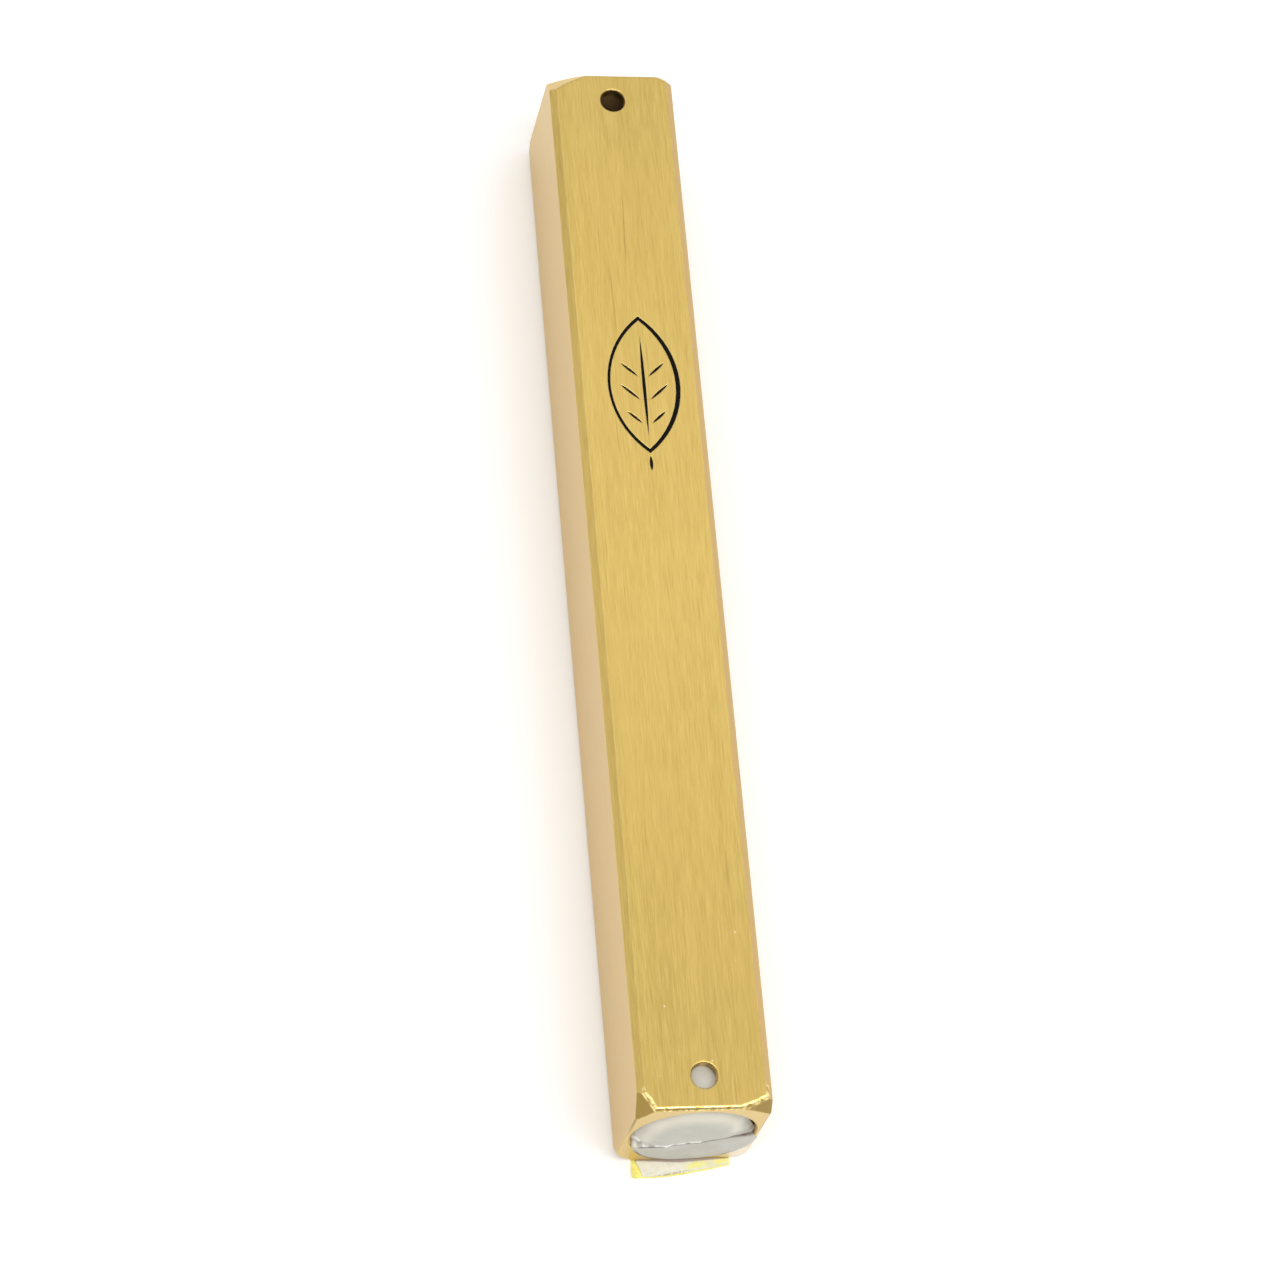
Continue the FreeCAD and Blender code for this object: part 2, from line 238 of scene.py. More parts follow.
def gold_tones(n, place, facing, lines, end_face):
    """The anodised colour, tinted on each of the case's faces with painted reflection and painted
    shade.
    """
    x, y, z = n.split(place)[0:3]
    sideways = n.math("ABSOLUTE", facing[0])
    clouds = n.noise(n.scaled(place, (0.12, 0.05, 0.12)), detail=2.0)
    color = n.mix(n.spread(lines, 0.36, 0.64), GOLD_DARK, GOLD)
    color = n.mix(n.spread(clouds, 0.35, 0.7, 0.0, 0.35), color, GOLD_CLOUD)

    # The front is lighter a little above its middle and darker towards its ends.
    tone = n.spread(n.off(y, PALEST_HEIGHT), 10.0, 60.0, 1.09, 0.95)
    front = n.spread(facing[2], 0.9, 0.97)
    color = n.mix(front, color, n.vector("MULTIPLY", color, tone))

    # Painted reflection: the end faces, the sides and the right bevel are tinted to stand in for
    # the light each of them reflects.
    color = n.mix(n.product(end_face, 0.6), color, GOLD_END_REFLECTION)
    color = n.mix(n.product(n.spread(sideways, 0.8, 0.95), 0.55), color, GOLD_SIDE_REFLECTION)
    right_bevel = n.product(n.spread(facing[0], 0.4, 0.6), n.spread(facing[2], 0.4, 0.6), 0.55)
    color = n.mix(right_bevel, color, GOLD_BEVEL_REFLECTION)

    # The filed corners at the lower end are darkened with painted shade. At its back right corner
    # the face between them is painted pale, standing in for the white floor it reflects.
    filed_shade = n.product(
        n.spread(sideways, 0.15, 0.32),
        n.spread(facing[1], -0.15, -0.32),
        n.spread(z, 8.0, 12.0),
        0.62,
    )
    color = n.mix(filed_shade, color, GOLD_SHADE)
    bare = n.product(
        n.spread(y, LOWER_END + 1.0, LOWER_END + 0.5),
        n.spread(z, 6.2, 3.2),
        n.spread(x, 3.6, 5.6),
        0.75,
    )
    return n.mix(bare, color, GOLD_FLOOR_REFLECTION)


def gold_anodised():
    """Satin aluminium brushed along its length, then anodised gold."""
    n = new_nodes("gold_anodised_aluminium")
    place = n.place()
    _x, y, z = n.split(place)[0:3]
    flat_normal = n.node("ShaderNodeNewGeometry").outputs["True Normal"]
    facing = n.split(flat_normal)
    end_face = n.spread(n.math("ABSOLUTE", facing[1]), 0.6, 0.8)
    lines = brushed_lines(n, place, end_face)
    color = gold_tones(n, place, facing, lines, end_face)

    scratches = scratched(n, place)
    color = n.mix(scratches, color, GOLD_SCRATCH)
    # Painted highlight: small specks on the lower front are painted bright as glints.
    speck_spots = n.spread(n.cells(place, scale=0.45), 0.055, 0.03)
    glint_specks = n.product(speck_spots, n.spread(y, LOWER_END + 30.0, LOWER_END + 20.0), 0.7)
    color = n.mix(glint_specks, color, GOLD_GLINT_SPECK)

    rounded = n.node("ShaderNodeBevel", {"Radius": EDGE_WEAR * MM}, samples=6).outputs[0]
    bend = n.vector("DOT_PRODUCT", rounded, flat_normal, output=1)
    rub = n.noise(n.scaled(place, (1.5, 0.7, 1.5)), detail=4.0, rough=0.7)
    worn = n.product(n.spread(bend, 0.995, 0.93), n.spread(rub, 0.40, 0.62, 0.15, 0.8))
    color = n.mix(worn, color, GOLD_EDGE)

    # The rounded lower edge of the front has small dents. It carries a painted highlight in bright
    # dots, with painted shade between them.
    turning = n.product(n.spread(facing[2], 0.995, 0.98), n.spread(facing[2], 0.15, 0.3))
    rim = n.product(
        n.spread(y, LOWER_END + 2.8, LOWER_END + 2.4),
        n.spread(z, FRONT - 0.45, FRONT - 0.30),
        turning,
    )
    dents = n.noise(place, scale=2.2, detail=1.0)
    glint_dots = n.product(rim, n.spread(dents, 0.42, 0.56))
    color = n.mix(n.math("MULTIPLY", rim, 0.7), color, GOLD_DARK)
    color = n.mix(glint_dots, color, GOLD_GLINT_DOT)

    height = n.math("ADD", n.math("MULTIPLY", lines, 0.006), n.product(dents, rim, 0.035))
    height = n.math("SUBTRACT", height, n.math("MULTIPLY", scratches, 0.006))
    rough = n.spread(lines, 0.35, 0.65, 0.29, 0.40)
    # The tangent runs across the brushing. The small Z keeps it from vanishing on the end faces.
    tangent = n.vector("CROSS_PRODUCT", flat_normal, (0.0, 1.0, 0.0))
    return n.principled({
        "Base Color": color,
        "Metallic": 1.0,
        "Roughness": n.math("SUBTRACT", rough, n.math("MULTIPLY", glint_dots, 0.14)),
        "Anisotropic": 0.55,
        "Tangent": n.vector("ADD", tangent, (0.0, 0.0, 0.01)),
        "Normal": n.bump(height, 1.0, normal=rounded),
    })


def gold_cap():
    """The same gold on the pressed top cap, with turned rings instead of straight brushing."""
    n = new_nodes("gold_anodised_cap")
    place = n.vector("SUBTRACT", n.place(), (0.0, 0.0, BORE_HEIGHT))
    x, _y, z = n.split(place)[0:3]
    radius = n.math("SQRT", n.math("ADD", n.math("POWER", x, 2.0), n.math("POWER", z, 2.0)))
    rings = n.node("ShaderNodeCombineXYZ", {0: n.math("MULTIPLY", radius, 13.0)}).outputs[0]
    wobble = n.vector("ADD", rings, n.scaled(place, (0.06, 0.06, 0.06)))
    lines = n.noise(wobble, detail=3.0, rough=0.65)
    clouds = n.noise(place, scale=0.3, detail=2.0)
    color = n.mix(n.spread(lines, 0.36, 0.64), GOLD_DARK, GOLD)
    color = n.mix(n.spread(clouds, 0.4, 0.7, 0.0, 0.4), color, CAP_CLOUD)
    # The face towards the bore is dull and painted brown, as painted shade standing in for the
    # gold-tinted dimness inside the bore.
    facing = n.split(n.node("ShaderNodeNewGeometry").outputs["True Normal"])
    inside = n.spread(facing[1], -0.5, -0.8)
    return n.principled({
        "Base Color": n.mix(inside, color, CAP_INSIDE_SHADE),
        "Metallic": n.math("SUBTRACT", 1.0, inside),
        "Roughness": n.spread(lines, 0.35, 0.65, 0.30, 0.42),
        "Normal": n.bump(lines, 0.006),
    })


# ---------------------------------------------------------------- the other materials

ENAMEL_BLACK = (0.004, 0.0035, 0.003, 1)
ENAMEL_THIN = (0.09, 0.06, 0.02, 1)


def black_enamel():
    """Black paint with a dull gloss, thin here and there so that some gold shows."""
    n = new_nodes("black_enamel")
    place = n.place()
    ripple = n.noise(place, scale=2.5, detail=3.0)
    thin = n.noise(n.scaled(place, (6.0, 3.0, 6.0)), detail=4.0, rough=0.7)
    return n.principled({
        "Base Color": n.mix(n.spread(thin, 0.66, 0.74, 0.0, 0.5), ENAMEL_BLACK, ENAMEL_THIN),
        "Roughness": n.spread(ripple, 0.3, 0.7, 0.35, 0.6),
        "Specular IOR Level": 0.06,
        "Normal": n.bump(ripple, 0.03),
    })


SILICONE = (0.50, 0.49, 0.42, 1)
SILICONE_PALE = (0.56, 0.545, 0.485, 1)
SILICONE_SPECK = (0.33, 0.30, 0.24, 1)
SILICONE_HIGHLIGHT = (0.72, 0.68, 0.56, 1)
SILICONE_TORN = (0.97, 0.96, 0.92, 1)
SILICONE_SHADE = (0.10, 0.055, 0.04, 1)


def grey_silicone():
    """Milky grey silicone: satin, faintly clouded, white where it is torn, with a painted highlight
    band and painted shade in the split and under the lower lip.
    """
    n = new_nodes("grey_silicone")
    place = n.place()
    clouds = n.noise(place, scale=0.35, detail=3.0)
    grain = n.noise(place, scale=5.0, detail=4.0, rough=0.6)
    specks = n.spread(n.cells(place, scale=1.2), 0.15, 0.06, 0.0, 0.32)
    color = n.mix(n.spread(clouds, 0.35, 0.65), SILICONE, SILICONE_PALE)
    color = n.mix(specks, color, SILICONE_SPECK)
    color = n.mix(n.attribute("highlight_band"), color, SILICONE_HIGHLIGHT)
    color = n.mix(n.attribute("torn"), color, SILICONE_TORN)
    color = n.mix(n.attribute("split_and_lip_shade"), color, SILICONE_SHADE)
    return n.principled({
        "Base Color": color,
        "Roughness": n.spread(grain, 0.3, 0.7, 0.42, 0.60),
        "Subsurface Weight": 0.2,
        "Subsurface Radius": (1.0, 0.9, 0.7),
        "Subsurface Scale": 0.5 * MM,
        "Normal": n.bump(grain, 0.02),
    })


SKIN = (0.60, 0.46, 0.26, 1)
SKIN_PALE = (0.74, 0.61, 0.39, 1)
SKIN_STAIN = (0.48, 0.33, 0.17, 1)
SKIN_PORE = (0.42, 0.28, 0.14, 1)


def parchment():
    """Scraped skin: creamy, with fibres, darker stains and pores."""
    n = new_nodes("parchment")
    place = n.place()
    fibres = n.noise(n.scaled(place, (2.0, 0.5, 2.0)), detail=6.0, rough=0.7)
    stains = n.noise(place, scale=0.12, detail=4.0, rough=0.6)
    pores = n.spread(n.cells(place, scale=3.0), 0.22, 0.08)
    color = n.mix(n.spread(fibres, 0.35, 0.65), SKIN, SKIN_PALE)
    color = n.mix(n.spread(stains, 0.48, 0.72, 0.0, 0.5), color, SKIN_STAIN)
    color = n.mix(n.math("MULTIPLY", pores, 0.18), color, SKIN_PORE)
    height = n.math("SUBTRACT", fibres, n.math("MULTIPLY", pores, 0.4))
    return n.principled({
        "Base Color": color,
        "Roughness": n.spread(fibres, 0.3, 0.7, 0.62, 0.85),
        "Normal": n.bump(height, 0.05),
    })


FILM = (0.78, 0.81, 0.83, 1)


def clear_film():
    """Thin clear film: it shows where it turns away, as a painted sheen of opaque grey, and is
    nearly invisible face on.
    """
    n = new_nodes("clear_film")
    place = n.place()
    wrinkles = n.noise(n.scaled(place, (0.5, 0.06, 0.5)), detail=3.0)
    smudges = n.noise(place, scale=0.5, detail=4.0)
    normal = n.bump(wrinkles, 0.4)
    # Painted sheen: the grey film turns opaque where it faces away from the view.
    edge = n.node("ShaderNodeLayerWeight", {"Blend": 0.35, "Normal": normal}).outputs["Facing"]
    smeared = n.spread(smudges, 0.5, 0.8, 0.0, 0.08)
    return n.principled({
        "Base Color": FILM,
        "Roughness": n.spread(smudges, 0.3, 0.7, 0.06, 0.16),
        "Alpha": n.math("ADD", n.spread(edge, 0.0, 1.0, 0.07, 0.5), smeared),
        "Normal": normal,
    })


ADHESIVE = (0.76, 0.72, 0.58, 1)
ADHESIVE_PALE = (0.84, 0.80, 0.65, 1)
ADHESIVE_CRUMB = (0.92, 0.90, 0.78, 1)
ADHESIVE_CLEAR = (0.90, 0.82, 0.20, 1)
ADHESIVE_DIRT = (0.36, 0.31, 0.24, 1)
ADHESIVE_END_DARK = (0.33, 0.25, 0.18, 1)
ADHESIVE_CORNER_SHADE = (0.24, 0.13, 0.10, 1)
# The clear patches lie on a line that climbs to the right, just inside the slanted lower end.
PATCH_SLOPE = 0.155
PATCH_HEIGHT = LOWER_END - 0.98
PATCH_OFF_END = 0.40


def white_adhesive():
    """Milky adhesive with crumbs, bubbles and dirt, clear patches on its bare lower end, and
    painted shade in the corner against the case's end.
    """
    n = new_nodes("white_adhesive")
    place = n.place()
    x, y, _z = n.split(place)[0:3]
    mottle = n.noise(place, scale=1.6, detail=4.0, rough=0.6)
    crumbs = n.noise(place, scale=6.5, detail=3.0, rough=0.6)
    dirt = n.spread(n.noise(place, scale=2.4, detail=5.0, rough=0.75), 0.68, 0.76, 0.0, 0.55)
    bubbles = n.spread(n.cells(place, scale=1.4), 0.16, 0.10)
    color = n.mix(n.spread(mottle, 0.38, 0.62), ADHESIVE, ADHESIVE_PALE)
    color = n.mix(n.spread(crumbs, 0.60, 0.72, 0.0, 0.5), color, ADHESIVE_CRUMB)

    # Where the adhesive is clear the yellow liner shows through it.
    patch_line = n.math("ADD", n.math("MULTIPLY", x, PATCH_SLOPE), PATCH_HEIGHT)
    wander = n.math("MULTIPLY", n.math("SUBTRACT", mottle, 0.5), 1.1)
    off_line = n.math("ADD", n.off(y, patch_line), wander)
    first = n.spread(n.off(x, 1.85), 1.5, 0.7)
    second = n.spread(n.off(x, 4.4), 1.2, 0.5)
    clear = n.product(n.spread(off_line, 0.45, 0.12), n.math("MAXIMUM", first, second), 0.85)
    color = n.mix(clear, color, ADHESIVE_CLEAR)

    color = n.mix(dirt, color, ADHESIVE_DIRT)
    # The adhesive is darker in patches along a line just inside its bare lower end.
    end_line = n.math("SUBTRACT", patch_line, PATCH_OFF_END)
    end_dark = n.product(
        n.spread(n.off(y, end_line), 0.16, 0.06),
        n.spread(crumbs, 0.42, 0.55),
        n.spread(x, 1.5, 0.0),
        0.7,
    )
    color = n.mix(end_dark, color, ADHESIVE_END_DARK)

    # Painted shade lies in the corner between the tape and the case's end.
    corner = n.math("ADD", n.math("MULTIPLY", n.math("ABSOLUTE", x), 0.06), LOWER_END - 0.36)
    corner_shade = n.spread(n.math("SUBTRACT", y, corner), -0.08, 0.04, 0.0, 0.72)
    color = n.mix(corner_shade, color, ADHESIVE_CORNER_SHADE)
    height = n.math("ADD", crumbs, n.math("MULTIPLY", bubbles, 0.5))
    return n.principled({
        "Base Color": color,
        "Roughness": n.spread(mottle, 0.3, 0.7, 0.30, 0.6),
        "Subsurface Weight": 0.15,
        "Subsurface Scale": 0.3 * MM,
        "Normal": n.bump(height, 0.04),
    })


LINER = (0.86, 0.77, 0.16, 1)
LINER_PALE = (0.93, 0.87, 0.27, 1)
LINER_CREASE = (0.95, 0.92, 0.50, 1)


def yellow_liner():
    """Waxed yellow release paper with a faint crepe and small creases."""
    n = new_nodes("yellow_liner")
    place = n.place()
    crepe = n.noise(n.scaled(place, (2.0, 5.0, 2.0)), detail=3.0)
    creases = n.noise(place, scale=0.8, detail=2.0)
    color = n.mix(n.spread(crepe, 0.35, 0.65), LINER, LINER_PALE)
    color = n.mix(n.spread(creases, 0.55, 0.7, 0.0, 0.35), color, LINER_CREASE)
    return n.principled({
        "Base Color": color,
        "Roughness": n.spread(crepe, 0.3, 0.7, 0.28, 0.42),
        "Normal": n.bump(crepe, 0.02),
    })


# ---------------------------------------------------------------- mesh tools

def smooth(value, low, high):
    """0 up to low, 1 from high on, with an even S between; low may be above high."""
    t = min(max((value - low) / (high - low), 0.0), 1.0)
    return t * t * (3 - 2 * t)


def hump(value, middle, width, power=2):
    """1 at the middle, falling away to both sides."""
    return math.exp(-((value - middle) / width) ** power)


def ragged(x, y, scale, seed):
    """Even noise between -1 and 1, the same every run."""
    return noise.noise(Vector((x * scale, y * scale, seed)))


def follow(points, x):
    """Height at x of a line drawn through the points."""
    if x <= points[0][0]:
        return points[0][1]
    for (x0, y0), (x1, y1) in zip(points, points[1:]):
        if x <= x1:
            return y0 + (y1 - y0) * (x - x0) / (x1 - x0)
    return points[-1][1]


def steps(low, high, count):
    """Evenly spaced values from low to high, both included."""
    return [low + (high - low) * i / count for i in range(count + 1)]


def add_row(mesh, points):
    return [mesh.verts.new(Vector(point) * MM) for point in points]


def bridge(mesh, first, second, closed=True):
    """Faces between two rows of equal length. Where rows share a vertex the faces are triangles."""
    count = len(first) if closed else len(first) - 1
    for i in range(count):
        j = (i + 1) % len(first)
        corners = [first[i], first[j], second[j], second[i]]
        unique = [v for k, v in enumerate(corners) if v not in corners[:k]]
        if len(unique) > 2:
            mesh.faces.new(unique)


def close_sheet(mesh, under, over):
    """Makes a closed sheet out of two grids of vertices, one on each side of it."""
    for grid in (under, over):
        for first, second in zip(grid, grid[1:]):
            bridge(mesh, first, second, closed=False)
    for first, second in (
        (under[0], over[0]),
        (under[-1], over[-1]),
        ([row[0] for row in under], [row[0] for row in over]),
        ([row[-1] for row in under], [row[-1] for row in over]),
    ):
        bridge(mesh, first, second, closed=False)


def add_slab(mesh, columns, rows, spot, thickness):
    """A closed sheet: spot(u, y) is a point of its lower side, thickness(u, y) is added in Z."""
    sides = []
    for lift in (0, 1):
        grid = []
        for y in rows:
            points = []
            for u in columns:
                point = Vector(spot(u, y))
                point.z += lift * thickness(u, y)
                points.append(point)
            grid.append(add_row(mesh, points))
        sides.append(grid)
    close_sheet(mesh, *sides)


def finish_piece(name, mesh, node, body, material, sharp=50.0):
    """Makes a closed mesh into a piece that stands for a CAD node and rides on its body."""
    bmesh.ops.remove_doubles(mesh, verts=mesh.verts, dist=0.00002 * MM)
    bmesh.ops.recalc_face_normals(mesh, faces=mesh.faces)
    data = bpy.data.meshes.new(name)
    mesh.to_mesh(data)
    mesh.free()
    data.shade_smooth()
    data.set_sharp_from_angle(angle=math.radians(sharp))
    piece = bpy.data.objects.new(name, data)
    bpy.context.scene.collection.objects.link(piece)
    wear(piece, material)
    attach(piece, body)
    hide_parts(node)


# ---------------------------------------------------------------- the soft bottom plug

# Angles go round the bore's middle: 0 is towards the right side, 90 degrees towards the front.

# The oval that the soft plug and the cap fill, 0.02 inside the bore's wall. The rigid CAD plug is
# smaller.
BORE_HALF_WIDTH = 6.38
BORE_HALF_HEIGHT = 7.13
PLUG_COLUMNS = 240
PLUG_ROWS = 44
# How strongly the rows crowd together at the split.
ROW_CROWDING = 3.6
# Points (x, z from the bore's middle) of the split across the outer face.
SPLIT_LINE = (
    (-6.6, -3.1), (-5.0, -2.7), (-3.5, -2.35), (-2.3, -2.2), (-1.7, -1.8), (-0.2, -1.3),
    (1.2, -0.9), (2.6, -0.25), (4.1, 0.15), (5.3, 0.1), (6.6, 0.0),
)
SPLIT_LEFT = -5.4
GROOVE_BELOW = 0.34
GROOVE_WIDTH = 0.22
GROOVE_DEPTH = 0.07
# White crumbs along the split: x of the middle, width, amount.
TORN_BITS = (
    (-3.3, 0.55, 0.8), (-2.45, 0.85, 1.0), (-1.0, 1.0, 0.7), (0.45, 0.8, 0.8), (-4.5, 0.3, 0.5),
)
CRUMPLE_X = -5.6
CRUMPLE_Z = -2.0
LIP_HALF_WIDTH = 6.88
LIP_HALF_HEIGHT = 7.66
LIP_POWER = 2.35
LIP_THICKNESS = 0.14
LIP_LIFT = 0.012
BULGE_HEIGHT = 0.40
BULGE_DROP = 1.2
BULGE_FLAT = 0.42
# Depth of each ring of the stem behind the case's end, and the share by which it is narrower.
STEM_RINGS = ((0.35, 0.0), (1.2, 0.0), (3.0, 0.0), (5.5, 0.0), (7.3, 0.0), (7.95, 0.09))
STEM_LENGTH = 8.0


def split_height(x):
    jag = 0.10 * ragged(x, 0, 1.9, 3.1) + 0.05 * ragged(x, 0, 6.0, 7.7)
    return follow(SPLIT_LINE, x) + jag


def lip_share(angle):
    """How far the lower lip spreads over the case's rim: 0 above, 1 below and on the right."""
    degrees = math.degrees(angle)
    return smooth(degrees, -165, -112) * (1 - smooth(degrees, -9, 5))


def lip_rise(angle):
    """How far the lower half stands on the rim's level: it starts earlier than it spreads."""
    degrees = math.degrees(angle)
    return smooth(degrees, -178, -160) * (1 - smooth(degrees, -9, 5))


def mouth_gap(angle):
    """Share by which the plug has shrunk away from the bore's two narrow sides at its mouth."""
    degrees = math.degrees(angle) % 360
    right = hump((degrees + 180) % 360 - 180, 17, 13)
    left = hump(degrees, 169, 11)
    return 0.085 * right + 0.055 * left


def plug_outline(angle):
    """Edge of the outer face: the bore's wall above, the spread lip's edge below."""
    inner = 1 - mouth_gap(angle)
    cosine, sine = math.cos(angle), math.sin(angle)
    inner_x = BORE_HALF_WIDTH * inner * cosine
    inner_z = BORE_HALF_HEIGHT * inner * sine
    reach = (abs(cosine) ** LIP_POWER + abs(sine) ** LIP_POWER) ** (-1 / LIP_POWER)
    frill = 1 + 0.006 * ragged(cosine * 5, sine * 5, 1.3, 2.2)
    share = lip_share(angle)
    lip_x = LIP_HALF_WIDTH * reach * frill * cosine
    lip_z = LIP_HALF_HEIGHT * reach * frill * sine
    return inner_x + (lip_x - inner_x) * share, inner_z + (lip_z - inner_z) * share


def torn_amount(x, z, above):
    """How torn the upper half is just above the split."""
    if above <= -0.05:
        return 0.0
    wander = 0.5 * ragged(x, z, 1.5, 6.5)
    up = smooth(above, 0.62 + 0.55 * ragged(x, 0, 2.3, 2.0), 0.08)
    lumps = 1.0 + 0.6 * ragged(x, z, 4.0, 4.0)
    bits = [
        amount * hump(x + wander, middle, width * 0.6, power=4) * up * lumps
        for middle, width, amount in TORN_BITS
    ]
    return max(bits + [0.0])


def plug_face(x, z, edge_share, angle):
    """What one point of the outer face is like: how far it stands out, how torn it is, its painted
    shade and its painted highlight.
    """
    above = z - split_height(x)
    fall = max((edge_share - BULGE_FLAT) / (1 - BULGE_FLAT), 0.0)
    bulge = BULGE_HEIGHT - BULGE_DROP * fall ** 2.1
    flat = LIP_THICKNESS + 0.20 * (1 - edge_share ** 2) - 0.10 * smooth(edge_share, 0.93, 1.0)
    rise = lip_rise(angle)
    out = bulge if above > 0 else flat * rise + (bulge - 0.03) * (1 - rise)
    out += 0.05 * ragged(x, z, 0.55, 5.0) + 0.012 * ragged(x, z, 2.5, 9.0)
    out += 0.04 * smooth(above, -0.35, -0.75)
    groove = hump(above, -GROOVE_BELOW, GROOVE_WIDTH, power=4)
    groove *= smooth(x, SPLIT_LEFT, SPLIT_LEFT + 0.6)
    out -= GROOVE_DEPTH * groove

    # At the split's left end the two halves are crumpled together.
    torn = torn_amount(x, z, above)
    crumple = hump(x, CRUMPLE_X, 0.6) * hump(z, CRUMPLE_Z, 1.1)
    out += 0.08 * torn + crumple * (0.06 + 0.14 * ragged(x, z, 2.6, 1.0))
    torn = min(max(torn, 0.85 * smooth(crumple, 0.4, 0.7)), 1.0)

    # Painted shade lies in the split and under the edge of the lower lip.
    degrees = math.degrees(angle) % 360
    below = smooth(degrees, 208, 224) * (1 - smooth(degrees, 306, 324))
    under = smooth(edge_share, 0.935, 0.96) * below
    in_split = 0.97 * groove * (0.85 + 0.25 * ragged(x, 0, 1.4, 8.0))
    split_and_lip_shade = min(max(in_split, 0.8 * under), 1.0)

    # Painted highlight: a pale band in the upper half, where the dome would catch the lamp.
    highlight_band = hump(edge_share, 0.77, 0.12) * smooth(above, 0.2, 1.2)
    highlight_band *= 0.95 + 0.35 * ragged(x, z, 0.45, 3.3)
    return out, torn, split_and_lip_shade, highlight_band


def plug_vertex(mesh, x, z, out):
    """A vertex of the plug: x and z from the bore's middle, out from the case's lower end."""
    return mesh.verts.new(Vector((x, LOWER_END - out, BORE_HEIGHT + z)) * MM)


def add_plug_face(mesh):
    """The outer face, in strips from the lower edge over the split to the upper edge."""
    layers = [mesh.verts.layers.float.new(name) for name in ("torn", "split_and_lip_shade", "highlight_band")]
    strips = []
    for column in range(PLUG_COLUMNS + 1):
        top_angle = math.pi * (1 - column / PLUG_COLUMNS)
        top_x, top_z = plug_outline(top_angle)
        low_x, low_z = plug_outline(-top_angle)
        middle_x = (top_x + low_x) / 2
        split = min(max(split_height(middle_x), low_z * 0.97), top_z * 0.97)
        strip = []
        for row in range(-PLUG_ROWS, PLUG_ROWS + 1):
            share = math.expm1(ROW_CROWDING * abs(row) / PLUG_ROWS) / math.expm1(ROW_CROWDING)
            end_x, end_z = (top_x, top_z) if row > 0 else (low_x, low_z)
            x = middle_x + (end_x - middle_x) * share
            z = split + (end_z - split) * share
            angle = math.atan2(z / BORE_HALF_HEIGHT, x / BORE_HALF_WIDTH)
            edge = math.hypot(*plug_outline(angle))
            edge_share = min(math.hypot(x, z) / max(edge, 1e-6), 1.0)
            out, *paint = plug_face(x, z, edge_share, angle)
            vertex = plug_vertex(mesh, x, z, out)
            for layer, amount in zip(layers, paint):
                vertex[layer] = amount
            strip.append(vertex)
        strips.append(strip)
    for first, second in zip(strips, strips[1:]):
        bridge(mesh, first, second, closed=False)
    return strips


def add_plug_stem(mesh, edge, angles):
    """From the face's edge the surface turns under the lip and runs back along the bore."""
    edge_out = [LOWER_END - vertex.co.y / MM for vertex in edge]
    turned = []
    for angle, out in zip(angles, edge_out):
        share = lip_share(angle)
        x, z = plug_outline(angle)
        inset = 1 - 0.004 * (1 - share)
        back = min(out - 0.02, LIP_LIFT) if share > 0.02 else out - 0.03
        turned.append(plug_vertex(mesh, x * inset, z * inset, back))
    rings = [edge, turned]
    for depth, narrower in STEM_RINGS:
        ring = []
        for angle, out in zip(angles, edge_out):
            scale = 1 - narrower - mouth_gap(angle) * (1 - smooth(depth, 1.5, 3.5))
            x = BORE_HALF_WIDTH * scale * math.cos(angle)
            z = BORE_HALF_HEIGHT * scale * math.sin(angle)
            ring.append(plug_vertex(mesh, x, z, min(-depth, out - 0.05)))
        rings.append(ring)
    for share in (0.85, 0.5, 0.2):
        inner = share * (1 - STEM_RINGS[-1][1])
        out = 0.25 * (1 - share) - STEM_LENGTH
        rings.append([
            plug_vertex(
                mesh,
                BORE_HALF_WIDTH * inner * math.cos(angle),
                BORE_HALF_HEIGHT * inner * math.sin(angle),
                out,
            )
            for angle in angles
        ])
    for first, second in zip(rings, rings[1:]):
        bridge(mesh, first, second)
    mesh.faces.new(rings[-1])


def make_bottom_plug(material):
    mesh = bmesh.new()
    strips = add_plug_face(mesh)
    edge = [strip[-1] for strip in strips] + [strip[0] for strip in reversed(strips[1:-1])]
    angles = [math.pi * (1 - i / PLUG_COLUMNS) for i in range(PLUG_COLUMNS + 1)]
    angles += [-math.pi * i / PLUG_COLUMNS for i in range(1, PLUG_COLUMNS)]
    add_plug_stem(mesh, edge, angles)
    finish_piece(
        "silicone_plug", mesh, "bottom_plug", "plug", material, sharp=60.0
    )


# ---------------------------------------------------------------- the pressed top cap

CAP_SEGMENTS = 240
# Share of the bore's half size, and height over the case's top end, from the middle outwards.
CAP_PROFILE = (
    (0.0, -0.46), (0.2, -0.455), (0.45, -0.43), (0.62, -0.40), (0.70, -0.36), (0.735, -0.28),
    (0.77, -0.17), (0.81, -0.10), (0.86, -0.07), (0.91, -0.075), (0.945, -0.11), (0.968, -0.18),
    (0.984, -0.30), (0.988, -0.5), (0.988, -1.45), (0.965, -1.56), (0.90, -1.58), (0.6, -1.58),
    (0.0, -1.58),
)
CAP_DENT = 0.012


def make_top_cap(material):
    mesh = bmesh.new()
    rings = []
    for share, height in CAP_PROFILE:
        points = []
        for segment in range(CAP_SEGMENTS):
            angle = 2 * math.pi * segment / CAP_SEGMENTS
            x = BORE_HALF_WIDTH * share * math.cos(angle)
            z = BORE_HALF_HEIGHT * share * math.sin(angle)
            dent = CAP_DENT * ragged(x, z, 0.5, 8.0) if height > -0.5 else 0.0
            points.append((x, case_high.y + height + dent, BORE_HEIGHT + z))
        if share == 0.0:
            rings.append(add_row(mesh, points[:1]) * CAP_SEGMENTS)
        else:
            rings.append(add_row(mesh, points))
    for first, second in zip(rings, rings[1:]):
        bridge(mesh, first, second)
    finish_piece("top_cap", mesh, "top_plug", "case", material)


# ---------------------------------------------------------------- tape and liner

